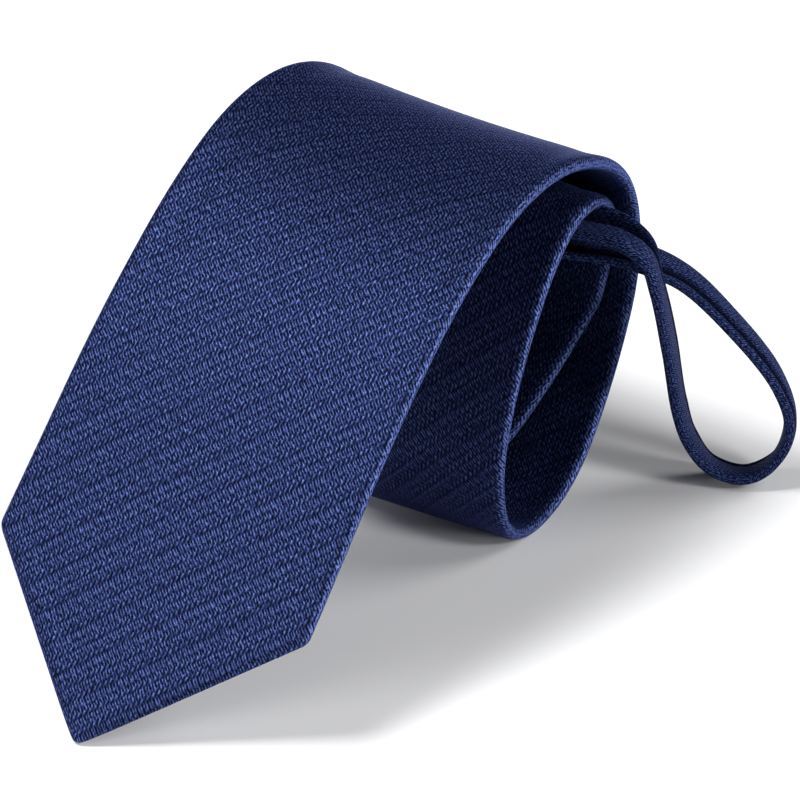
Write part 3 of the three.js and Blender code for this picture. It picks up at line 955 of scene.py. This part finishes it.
def make_knot():
    start, axis, thickness = knot_axes()
    widths = [(at, width) for at, width, _ in KNOT_SECTIONS]
    depths = [(at, depth) for at, _, depth in KNOT_SECTIONS]
    rings, stations = [], []
    for i in range(KNOT_ROWS + 1):
        at = KNOT_LENGTH * i / KNOT_ROWS
        ring, way, last = [], 0.0, None
        for j in range(KNOT_SIDES):
            angle = (j + 0.5) / KNOT_SIDES * math.tau
            x = smooth_between(widths, at, KNOT_BLEND) * rounded(math.cos(angle))
            n = smooth_between(depths, at, KNOT_BLEND) * rounded(math.sin(angle))
            dent = 0
            for height, slant in WRAPS:
                past = at - (height + slant * x * (1 if n > 0 else -1))
                dent += WRAP_DENT * math.exp(-((past / WRAP_SPREAD) ** 2))
            shrink = 1 - dent / KNOT_RADIUS
            point = start + axis * at + Vector((x * shrink, 0, 0)) + thickness * n * shrink
            way += (point - last).length if last else 0
            last = point
            ring.append((to_row(point), way))
        rings.append(ring)
        stations.append(at)
    return tube("knot_cloth", rings, stations)


knot = make_knot()
turn_faces_out(knot)
knot.data.materials.append(navy_weave)

# %% [markdown]
# ## Pieces on the frame
# Every piece rides on the imported model's one body and stands for its solid, which is then hidden.

# %% Ride and replace
for piece, node, slot in (
    (blade, "blade", "blade_cloth"),
    (knot, "knot", "blade_cloth"),
    (band, "neck_loop", "band_cloth"),
):
    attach(piece, "root")
    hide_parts(node)

# %% [markdown]
# ## Floor and light
# A plain pale floor and soft studio light. Square area lights give soft edges to the shadows, which sun or
# spot lights would not. The main light stands front left. A low one in front of the tie lights its rising
# slope, a low one on the right makes the side folds shine, and a weaker one above it and one at the back
# right open up the shadows. The world gives very little, so the inside of the roll stays dark, as in the
# photograph.

# %% Floor
FLOOR_SIZE = 14                     # metres
FLOOR_COLOUR = (0.86, 0.86, 0.87, 1)
FLOOR_ROUGHNESS = 0.9


def make_floor():
    mesh = bpy.data.meshes.new("floor")
    half = FLOOR_SIZE / 2
    corners = [(-half, -half, 0), (half, -half, 0), (half, half, 0), (-half, half, 0)]
    mesh.from_pydata(corners, [], [(0, 1, 2, 3)])
    floor = bpy.data.objects.new("floor", mesh)
    bpy.context.scene.collection.objects.link(floor)
    material, nodes, links = new_material("pale_floor")
    shader = nodes.new("ShaderNodeBsdfPrincipled")
    shader.inputs["Base Color"].default_value = FLOOR_COLOUR
    shader.inputs["Roughness"].default_value = FLOOR_ROUGHNESS
    output = nodes.new("ShaderNodeOutputMaterial")
    links.new(shader.outputs[0], output.inputs[0])
    floor.data.materials.append(material)


make_floor()
print("floor", FLOOR_SIZE, "m wide")


# %% Lights
LIGHT_DISTANCE = 3.0                # metres from the origin
LIGHTS_AIM_AT = (0, 0, 0.04)
LIGHTS = [          # name, azimuth from the front to the right, elevation, size, power
    ("front_left", -44, 62, 0.9, 86),
    ("front_low", -22, 15, 1.0, 56),
    ("right_low", 98, 9, 0.6, 50),
    ("right_high", 92, 36, 0.6, 32),
    ("back_right", 140, 40, 1.2, 30),
]


def area_light(name, place, target, size, power):
    data = bpy.data.lights.new(name, "AREA")
    data.shape = "SQUARE"
    data.size = size
    data.energy = power
    light = bpy.data.objects.new(name, data)
    light.location = place
    light.rotation_mode = "QUATERNION"
    light.rotation_quaternion = (Vector(target) - Vector(place)).to_track_quat("-Z", "Y")
    bpy.context.scene.collection.objects.link(light)


def place_lights():
    for name, azimuth, elevation, size, power in LIGHTS:
        turn, rise = math.radians(azimuth), math.radians(elevation)
        way = Vector((math.sin(turn) * math.cos(rise), -math.cos(turn) * math.cos(rise), math.sin(rise)))
        area_light(name, way * LIGHT_DISTANCE, LIGHTS_AIM_AT, size, power)


place_lights()
print(len(LIGHTS), "lights")

# %% World
WORLD_COLOUR = (0.95, 0.97, 1.0, 1)
WORLD_STRENGTH = 0.03

world = bpy.data.worlds.new("studio")
bpy.context.scene.world = world
world.use_nodes = True
background = world.node_tree.nodes["Background"]
background.inputs["Color"].default_value = WORLD_COLOUR
background.inputs["Strength"].default_value = WORLD_STRENGTH
bpy.context.scene.view_settings.view_transform = "Standard"
print("world strength", WORLD_STRENGTH)
